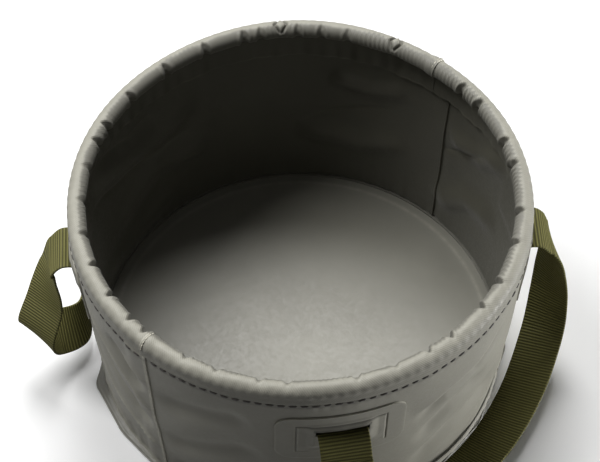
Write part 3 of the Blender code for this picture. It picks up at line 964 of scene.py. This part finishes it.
def patch_lines(x, height):
    """Places on a patch against its weld lines: the way to the nearest line, and how far outside the frame."""
    left, right = -PATCH_WIDTH / 2 + 0.0125, PATCH_WIDTH / 2 - 0.0125
    low, high = PATCH_BOTTOM + 0.0085, PATCH_TOP - 0.0098
    beside, beyond = np.maximum(left - x, x - right), np.maximum(low - height, height - high)
    outside = np.maximum(beside, beyond)
    return np.abs(outside), np.clip(outside / 0.0006, 0, 1)


def patch_relief(x, height, aside):
    """How far a patch's face stands off the wall: its pocket, its weld lines and its thin border."""
    from_slot = np.abs(x - aside)
    beside = ease((POCKET_HALF_WIDTH + 0.0065 - from_slot) / 0.0065)
    below = ease((height - POCKET_BOTTOM + 0.007) / 0.007)
    above = ease((SLOT_TOP + 0.006 - height) / 0.006)
    out = 0.0016 + 0.0018 * beside * below * above
    out = out + 0.0006 * hump(height - SLOT_TOP - 0.0004, 0.0014) * ease((SLOT_HALF_WIDTH - from_slot) / 0.004)
    weld, outside = patch_lines(x, height)
    out = out - 0.0009 * hump(weld, 0.0005) - 0.0004 * outside
    ripple = np.sin(x / 0.0023 + 3 * np.sin(height / 0.006)) * 0.00008
    return out + ripple * (1 - outside)


def build_patch(name, middle):
    """One handle patch: rounded cloth, welded down on its border, with a slot for the webbing."""
    sizes = bpy.context.scene.bowl_sizes
    aside = math.radians(ROOT_ASIDE[name]) * WALL_RADIUS_AT_RIM

    def place(across, up):
        height = PATCH_BOTTOM + (PATCH_TOP - PATCH_BOTTOM) * up
        x = (2 * across - 1) * patch_half_width(height)
        azimuth = middle + np.degrees(x / wall_radius(height))
        base = wall_radius(height) + wall_relief(azimuth, height)
        base = base + rim_shift(azimuth) * (height / RIM_HEIGHT) ** 2
        return polar(base + patch_relief(x, height, aside), azimuth, height)

    size = (PATCH_WIDTH, PATCH_TOP - PATCH_BOTTOM)
    patch = cloth_sheet(f"patch_{name}", 176, 114, place, size)

    def on_patch(points):
        azimuth, _, height = cylindrical(points)
        return np.radians(turned(azimuth, middle)) * wall_radius(height), height

    x, height = on_patch(read_points(patch.data))
    hole = (np.abs(x - aside) < SLOT_HALF_WIDTH - 0.001) & (height > SLOT_BOTTOM) & (height < SLOT_TOP)
    bpy.ops.object.mode_set(mode="EDIT")
    bpy.ops.mesh.select_all(action="DESELECT")
    bpy.ops.object.mode_set(mode="OBJECT")
    patch.data.vertices.foreach_set("select", hole)
    bpy.ops.object.mode_set(mode="EDIT")
    bpy.ops.mesh.delete(type="VERT")
    bpy.ops.object.mode_set(mode="OBJECT")
    thicken(patch, sizes.cloth_thickness * 1.3, "coated cloth", "cloth lining")

    # Painted highlights along the patch's edge, the pocket's raised sides and beside the weld lines.
    def worn_and_lit(points):
        x, height = on_patch(points)
        edge = np.minimum(height - PATCH_BOTTOM, PATCH_TOP - height)
        edge = np.minimum(patch_half_width(height) - np.abs(x), edge)
        pocket = hump(np.abs(np.abs(x - aside) - POCKET_HALF_WIDTH - 0.001), 0.0012)
        raised = pocket * ease((height - POCKET_BOTTOM) / 0.003) * ease((SLOT_BOTTOM - height) / 0.003)
        weld, _ = patch_lines(x, height)
        return np.maximum(0.4 * hump(edge, 0.0007) + 0.3 * raised, 0.3 * hump(weld - 0.0009, 0.0004))

    # Painted shade in the weld grooves and in the slot's gap above the webbing.
    def painted_shade_at(points):
        x, height = on_patch(points)
        weld, _ = patch_lines(x, height)
        above = ease((height - SLOT_TOP + 0.0016) / 0.0012) * ease((SLOT_TOP + 0.0026 - height) / 0.0022)
        return np.maximum(0.9 * hump(weld, 0.0005), above * (np.abs(x - aside) < SLOT_HALF_WIDTH))

    note(patch, "wear_and_highlight", worn_and_lit)
    note(patch, "painted_shade", painted_shade_at)
    settle(patch, "root", [f"handle_patch_{name}"], WALL_SQUASH)


def webbing_outline(thickness):
    """The webbing's section, flat with rounded edges that are a little thicker, and the way round it."""
    half, thin = WEB_WIDTH / 2, thickness / 2
    across = np.linspace(half - thin, -half + thin, 15)
    swell = 1 + 0.12 * ease((np.abs(across) - half + 0.0028) / 0.0014)
    top = [(x, thin * s) for x, s in zip(across, swell)]
    bends = (0.5, 1.05, 1.57, 2.1, 2.64)
    left = [(-half + thin - thin * math.sin(a), thin * 1.12 * math.cos(a)) for a in bends]
    side = top + left
    outline = np.array(side + [(-x, -y) for x, y in side])
    gaps = np.hypot(*(np.roll(outline, -1, axis=0) - outline).T)
    return outline, np.r_[0, np.cumsum(gaps)]


def webbing(name, centres, width_ways, cups):
    """A strip of ribbed webbing along a row of places, with its width lying the given ways."""
    sizes = bpy.context.scene.bowl_sizes
    outline, around = webbing_outline(sizes.webbing_thickness)
    lengths = np.r_[0, np.cumsum(np.linalg.norm(np.diff(centres, axis=0), axis=1))]
    count = RIB_ROWS * max(round(lengths[-1] / sizes.rib_pitch), 1) + 1
    even = np.linspace(0, lengths[-1], count)
    rows = np.column_stack([centres, width_ways, cups])
    rows = np.column_stack([np.interp(even, lengths, rows[:, k]) for k in range(7)])
    centres, width_ways, cups = rows[:, :3], rows[:, 3:6], rows[:, 6]
    run = np.gradient(centres, axis=0)
    run = run / np.linalg.norm(run, axis=1, keepdims=True)
    across = width_ways - run * (width_ways * run).sum(axis=1, keepdims=True)
    across = across / np.linalg.norm(across, axis=1, keepdims=True)
    face = np.cross(run, across)
    pitch = lengths[-1] / ((count - 1) / RIB_ROWS)
    rib = np.abs(np.sin(np.pi * even / pitch)) - 1
    sides = len(outline)

    def place(u, v):
        column = np.rint(u * sides).astype(int) % sides
        row = np.rint(v * (count - 1)).astype(int)
        x, y = outline[column, 0], outline[column, 1]
        flat = ease((WEB_WIDTH / 2 - np.abs(x)) / 0.0012)
        groove = sizes.rib_depth * rib[row] * flat * np.sign(y)
        lift = y + groove + cups[row] * (x / (WEB_WIDTH / 2)) ** 2
        return centres[row] + across[row] * x[:, None] + face[row] * lift[:, None]

    strip = cloth_sheet(name, sides, count - 1, place, (1.0, 1.0))

    def ribbed(uv):
        u = np.interp(uv[:, 0] * sides, range(sides + 1), around)
        return np.column_stack([u, uv[:, 1] * (count - 1) / RIB_ROWS * sizes.rib_pitch])

    change_map(strip.data, ribbed)
    edit(merge_close, lambda: bpy.ops.mesh.fill_holes(sides=0), outward)
    strip.data.materials.append(finish("ribbed webbing"))
    bpy.ops.object.shade_smooth_by_angle(angle=math.radians(60))
    return strip


def curve_through(points, steps):
    """Catmull-Rom curve through rows of numbers."""
    points = np.array(points, float)
    padded = np.vstack([points[0], points, points[-1]])
    rows = []
    for k in range(len(points) - 1):
        p0, p1, p2, p3 = padded[k : k + 4]
        for step in range(steps):
            t = step / steps
            bend = (2 * p0 - 5 * p1 + 4 * p2 - p3) * t**2 + (3 * p1 - p0 - 3 * p2 + p3) * t**3
            rows.append((2 * p1 + (p2 - p0) * t + bend) / 2)
    return np.array(rows + [points[-1]])


def leg_route(kind, leg):
    """One leg of a handle's free webbing, from its fold to its lowest point: middles and width ways."""
    middle, side = HANDLE_AZIMUTHS[kind], 1 if leg == "a" else -1
    route = [(SLOT_OFFSET_DEG, *place, 90 + SLOT_OFFSET_DEG, 0) for place in CREST_LINE] + LOOP_ROUTES[kind]
    rows = []
    for off, out, up, plan, tilt in route:
        lean = math.radians(tilt)
        aside = ROOT_ASIDE[f"{kind}_{leg}"] * ease((up - 0.050) / 0.053)
        way = polar(math.cos(lean), middle + side * plan + aside, math.sin(lean))
        rows.append([*polar(out, middle + side * off + aside, up), *way])
    return rows


def build_strap_end(name, azimuth, crest):
    """The anchored end of a handle: a tab welded behind its patch, and the fold from the slot to the loop."""
    seat = wall_radius(0.1) + TAB_STANDOFF
    rise = CREST_HEIGHT - ROOT_BEND
    root = [(seat + WALL_TAPER * (z - 0.1), z, 1.0) for z in np.linspace(TAB_BOTTOM + 0.0012, rise, 16)]
    foot = root[-1][0]
    for turn in range(6, 91, 6):
        angle = math.radians(turn)
        out, up = foot + ROOT_BEND * (1 - math.cos(angle)), rise + ROOT_BEND * math.sin(angle)
        root.append((out, up, 1 - turn / 120))
    radius, height, share = np.array(root).T
    aside = azimuth + ROOT_ASIDE[name]
    ways = np.broadcast_to(polar(1.0, aside + 90, 0.0), (len(root), 3))
    rows = np.column_stack([polar(radius, aside, height), ways, share])
    rows = np.vstack([rows, np.column_stack([crest, np.linspace(0.24, 0, len(crest))])])
    rows[:, 6] *= 0.98 * (WEB_WIDTH / 2) ** 2 / (2 * seat)
    split = int(np.argmax(height > rise - 0.0006))
    for part, chosen in (("tab", rows[: split + 1]), ("fold", rows[split:])):
        strip = webbing(f"webbing_{part}_{name}", chosen[:, :3], chosen[:, 3:6], chosen[:, 6])
        if part == "tab":
            settle(strip, "root", squash=WALL_SQUASH)
    start, end = (Vector(polar(out, azimuth, up)) for out, up in (TURN_START, TURN_END))
    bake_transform(strip)
    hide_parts(f"strap_end_{name}")


def slow_twist(rows):
    """Spread the turns of the width over a few millimetres, as stiff webbing does, but not at the ends."""
    steps = np.linalg.norm(np.diff(rows[:, :3], axis=0), axis=1)
    way = np.r_[0, np.cumsum(steps)]
    weight = np.gradient(way)
    near = np.minimum(way, way[-1] - way)
    spread = 0.0003 + 0.0057 * ease((near - 0.004) / 0.012)
    slow = rows.copy()
    for k, place in enumerate(way):
        share = weight * np.exp(-0.5 * ((way - place) / spread[k]) ** 2)
        slow[k, 3:] = (share[:, None] * rows[:, 3:]).sum(axis=0) / share.sum()
    return slow


def build_handle(kind):
    """One handle: both anchored ends, and the free loop that falls from one fold round to the other."""
    middle = HANDLE_AZIMUTHS[kind]
    steps = 14
    rows = slow_twist(curve_through(leg_route(kind, "a") + leg_route(kind, "b")[::-1], steps))
    fold = steps * (len(CREST_LINE) - 1)
    turned_over = np.array([1, 1, 1, -1, -1, -1])
    build_strap_end(f"{kind}_a", middle + SLOT_OFFSET_DEG, rows[: fold + 1])
    build_strap_end(f"{kind}_b", middle - SLOT_OFFSET_DEG, rows[::-1][: fold + 1] * turned_over)
    rows = rows[fold:-fold]
    share = np.linspace(0, 1, len(rows))
    cups = 0.0006 * np.sin(np.pi * share) * np.sin(9 * share + 0.5)
    strip = webbing(f"handle_{kind}", rows[:, :3], rows[:, 3:], cups)
    radius, height = CREST_LINE[-1]
    anchor = tuple(float(x) for x in polar(radius, middle + SLOT_OFFSET_DEG, height))
    lie = math.radians(LOOP_LIE_DEG)
    axis = tuple(float(x) for x in polar(math.sin(lie), middle, math.cos(lie)))
    settle(strip, f"handle_{kind}", [f"handle_strap_{kind}"], (anchor, LOOP_KEEP, axis))


def foot_radius(azimuth):
    """Edge of the welded foot, a polygon that runs straight between its soft corners."""
    first = FOOT_CORNERS[0]
    corners = np.array(FOOT_CORNERS + [(first[0] + 360, first[1])])
    total = np.zeros_like(azimuth)
    for soften in (-1.2, -0.6, 0.0, 0.6, 1.2):
        at = (azimuth + soften - first[0]) % 360 + first[0]
        k = np.clip(np.searchsorted(corners[:, 0], at, side="right") - 1, 0, len(corners) - 2)
        (start, near), (end, far) = corners[k].T, corners[k + 1].T
        start, end, at = np.radians(start), np.radians(end), np.radians(at)
        total = total + np.sin(end - start) / (np.sin(end - at) / near + np.sin(at - start) / far) / 5
    return np.maximum(total, wall_radius(0) + 0.0009)


def build_base():
    """The round floor of the bowl and the flat welded foot, which laps onto the floor's rim."""
    radius = FLOOR_RADIUS

    def floor_place(across, up):
        azimuth = 360 * across
        out = radius * (1 - up)
        wave = 0.00022 * np.sin(out * 60 + 1) * np.sin(np.radians(azimuth) * 2 + out * 30)
        ridge = 0.0002 * hump(out - radius + 0.008, 0.0008)
        relief = (wave * ease(out / 0.05) + ridge) * ease((radius - 0.004 - out) / 0.004)
        return polar(out, azimuth, 0.0012 + relief)

    floor = cloth_sheet("floor_cloth", 216, 64, floor_place, (2 * math.pi * radius, radius), closed=True)
    lay_flat_map(floor)
    thicken(floor, bpy.context.scene.bowl_sizes.cloth_thickness, "floor cloth", "coated cloth")
    note(floor, "wear_and_highlight", lambda points: 0.35 * hump(cylindrical(points)[1] - radius + 0.008, 0.0012))
    settle(floor, "root", ["base_panel"])

    def foot_place(across, up):
        azimuth = 360 * across
        outer = foot_radius(azimuth)
        out = outer + (FOOT_INNER_RADIUS - outer) * up
        turn = np.radians(azimuth)
        pucker = np.sin(61 * turn) + 0.6 * np.sin(113 * turn + 1) + 0.5 * np.sin(29 * turn)
        height = FOOT_TOP + 0.00012 * pucker * (1 - up)
        height = height - 0.00025 * hump(out - outer + 0.0014, 0.0004)
        height = height - 0.0004 * ease(1 - (outer - out) / 0.0005)
        return polar(out, azimuth, height - 0.0006 * ease((out - radius) / 0.002))

    foot = cloth_sheet("welded_foot", 720, 18, foot_place, (2 * math.pi * 0.134, 0.006), closed=True)
    thicken(foot, FOOT_THICKNESS, "floor cloth", "floor cloth")
    note(foot, "wear_and_highlight", lambda points: 0.1 * ease((cylindrical(points)[1] - 0.1352) / 0.002))
    # The whole foot is darkened: painted shade at the bowl's foot.
    note(foot, "painted_shade", lambda points: np.full(len(points), 0.6))
    settle(foot, "root", ["base_seam"])


def lay_flat_map(piece):
    """Map a flat piece as it lies, in metres."""
    mesh = piece.data
    corner = np.zeros(len(mesh.loops), dtype=np.int32)
    mesh.loops.foreach_get("vertex_index", corner)
    mesh.uv_layers.active.data.foreach_set("uv", read_points(mesh)[corner][:, :2].ravel())


def recolor_ring():
    """Give the ring and its joiner their finishes, in place of the plain ones."""
    for node, name in (("rim_ring", "smooth tube"), ("ring_joiner", "turned pin")):
        piece = frame["nodes"][node]
        piece.data.materials.clear()
        piece.data.materials.append(finish(name))


# ---------------------------------------------------------------- stage

CAMERA_ELEVATION = 53.73
CAMERA_DISTANCE = 1.1513
CAMERA_FOCUS_PX = 1918.0
AIM_BELOW_RING_DEG = 1.004

# Each lamp's azimuth, elevation, distance, size and power in watts
LAMPS = [
    ("back lamp", 90, 60, 2.0, 1.0, 36),
    ("left back lamp", 160, 58, 2.0, 1.0, 32),
    ("right card", -8, -2, 0.9, 0.11, 6.6),
    ("front fill", -45, 30, 2.0, 1.0, 0.3),
]
LAMP_AIM_HEIGHT = 0.08
FILL_LEVEL = 0.04


def build_camera():
    """A camera at the photograph's angle, worked out for 600 x 462 pixels."""
    angle = math.radians(CAMERA_ELEVATION)
    place = (0, -CAMERA_DISTANCE * math.cos(angle), RIM_HEIGHT + CAMERA_DISTANCE * math.sin(angle))
    turn = (math.radians(90 - CAMERA_ELEVATION - AIM_BELOW_RING_DEG), 0, math.radians(0.022))
    bpy.ops.object.camera_add(location=place, rotation=turn)
    camera = bpy.context.object
    camera.data.sensor_width = 36
    camera.data.lens = CAMERA_FOCUS_PX * 36 / 600
    camera.data.clip_start, camera.data.clip_end = 0.01, 20
    bpy.context.scene.camera = camera


def area_lamp(name, azimuth, elevation, distance, size, power):
    """A round soft lamp away from the bowl's middle, turned towards it."""
    aim = Vector((0, 0, LAMP_AIM_HEIGHT))
    rise = math.radians(elevation)
    away = Vector(polar(math.cos(rise), azimuth, math.sin(rise))) * distance
    bpy.ops.object.light_add(type="AREA", location=aim + away)
    lamp = bpy.context.object
    lamp.name = lamp.data.name = name
    lamp.data.shape = "DISK"
    lamp.data.size = size
    lamp.data.energy = power
    lamp.rotation_euler = (-away).to_track_quat("-Z", "Y").to_euler()


def build_world():
    """White to the camera, to gloss and to glass, and a dim even fill for everything else."""
    world = bpy.data.worlds.new("soft studio")
    bpy.context.scene.world = world
    world.use_nodes = True
    nodes, links = world.node_tree.nodes, world.node_tree.links
    nodes.clear()
    path, ground = nodes.new("ShaderNodeLightPath"), nodes.new("ShaderNodeBackground")
    rays = path.outputs["Is Camera Ray"]
    for name in ("Is Transmission Ray", "Is Glossy Ray"):
        either = nodes.new("ShaderNodeMath")
        either.operation = "MAXIMUM"
        links.new(rays, either.inputs[0])
        links.new(path.outputs[name], either.inputs[1])
        rays = either.outputs[0]
    level = nodes.new("ShaderNodeMapRange")
    level.inputs["To Min"].default_value = FILL_LEVEL
    level.inputs["To Max"].default_value = 1.0
    links.new(rays, level.inputs["Value"])
    links.new(level.outputs[0], ground.inputs["Strength"])
    links.new(ground.outputs[0], nodes.new("ShaderNodeOutputWorld").inputs["Surface"])


# ---------------------------------------------------------------- operators


class BowlOperator(bpy.types.Operator):
    """Shared by all steps."""

    bl_options = {"REGISTER", "UNDO"}

    def execute(self, context):
        self.make(context)
        return {"FINISHED"}


class BOWL_OT_stage(BowlOperator):
    """Set up the pale floor, the soft lamps and the camera"""

    bl_idname = "bowl.stage"
    bl_label = "Stage"

    def make(self, context):
        deselect()
        bpy.ops.mesh.primitive_plane_add(size=12, location=(0, 0, 0))
        floor = bpy.context.object
        floor.name = floor.data.name = "floor"
        floor.data.materials.append(floor_finish())
        build_camera()
        for lamp in LAMPS:
            area_lamp(*lamp)
        build_world()
        context.scene.view_settings.view_transform = "Standard"


class BOWL_OT_walls(BowlOperator):
    """Model the two wall panels of coated cloth"""

    bl_idname = "bowl.walls"
    bl_label = "Walls"

    def make(self, context):
        build_wall("front", SEAM_AZIMUTH - LAP_DEG - 180)
        build_wall("back", SEAM_AZIMUTH - LAP_DEG)


class BOWL_OT_base(BowlOperator):
    """Model the floor cloth and the welded foot"""

    bl_idname = "bowl.base"
    bl_label = "Base"

    def make(self, context):
        build_base()


class BOWL_OT_hems(BowlOperator):
    """Model both halves of the gathered, rolled hem"""

    bl_idname = "bowl.hems"
    bl_label = "Rolled Hem"

    def make(self, context):
        build_hem("front", SEAM_AZIMUTH - 180)
        build_hem("back", SEAM_AZIMUTH)


class BOWL_OT_ring(BowlOperator):
    """Finish the springy ring and its joiner"""

    bl_idname = "bowl.ring"
    bl_label = "Ring"

    def make(self, context):
        recolor_ring()


class BOWL_OT_stitching(BowlOperator):
    """Sew the hem: one row outside, one inside on the flap, and the joints over the roll"""

    bl_idname = "bowl.stitching"
    bl_label = "Stitching"

    def make(self, context):
        pitch = context.scene.bowl_sizes.stitch_pitch

        def on_wall(azimuth, height):
            return wall_surface(azimuth, height, pitch) + lap_lift((SEAM_AZIMUTH - azimuth) % 180) + 0.0003

        def on_flap(azimuth, height):
            return wall_radius(height) - FLAP_INSET + rim_shift(azimuth) - 0.0006

        for side, start in (("front", SEAM_AZIMUTH - 180), ("back", SEAM_AZIMUTH)):
            outside = rim_row_places(start, WALL_ROW, on_wall, 1.0, 1.2)
            inside = rim_row_places(start, FLAP_ROW, on_flap, -1.0, 2.4)
            stitch_row(f"hem_stitches_{side}", outside, "root", WALL_SQUASH)
            stitch_row(f"flap_stitches_{side}", inside, "rim", FLAP_SQUASH)
            stitch_row(f"joint_stitches_{side}", joint_places(start), "rim", None, "light thread", 0.5)


class BOWL_OT_patches(BowlOperator):
    """Model the four welded handle patches"""

    bl_idname = "bowl.patches"
    bl_label = "Handle Patches"

    def make(self, context):
        for name, azimuth in patch_azimuths().items():
            build_patch(name, azimuth)


class BOWL_OT_handles(BowlOperator):
    """Model both webbing handles with their anchored ends"""

    bl_idname = "bowl.handles"
    bl_label = "Handles"

    def make(self, context):
        for kind in HANDLE_AZIMUTHS:
            build_handle(kind)


OPERATORS = [
    BOWL_OT_stage,
    BOWL_OT_walls,
    BOWL_OT_base,
    BOWL_OT_ring,
    BOWL_OT_hems,
    BOWL_OT_stitching,
    BOWL_OT_patches,
    BOWL_OT_handles,
]


class BOWL_PT_panel(bpy.types.Panel):
    """Sizes, colours and steps of the bowl"""

    bl_idname = "BOWL_PT_panel"
    bl_label = "Water Bowl"
    bl_space_type = "VIEW_3D"
    bl_region_type = "UI"
    bl_category = "Bowl"

    def draw(self, context):
        for group in (context.scene.bowl_sizes, context.scene.bowl_colors):
            box = self.layout.box()
            for name in type(group).__annotations__:
                box.prop(group, name)
        for operator in OPERATORS:
            self.layout.operator(operator.bl_idname)


CLASSES = [BowlSizes, BowlColors, *OPERATORS, BOWL_PT_panel]


def register():
    for made in CLASSES:
        bpy.utils.register_class(made)
    bpy.types.Scene.bowl_sizes = PointerProperty(type=BowlSizes)
    bpy.types.Scene.bowl_colors = PointerProperty(type=BowlColors)


def unregister():
    del bpy.types.Scene.bowl_sizes
    del bpy.types.Scene.bowl_colors
    for made in reversed(CLASSES):
        bpy.utils.unregister_class(made)


def main():
    register()
    for operator in OPERATORS:
        step = operator.bl_idname.split(".")[1]
        getattr(bpy.ops.bowl, step)()


if __name__ == "__main__":
    main()
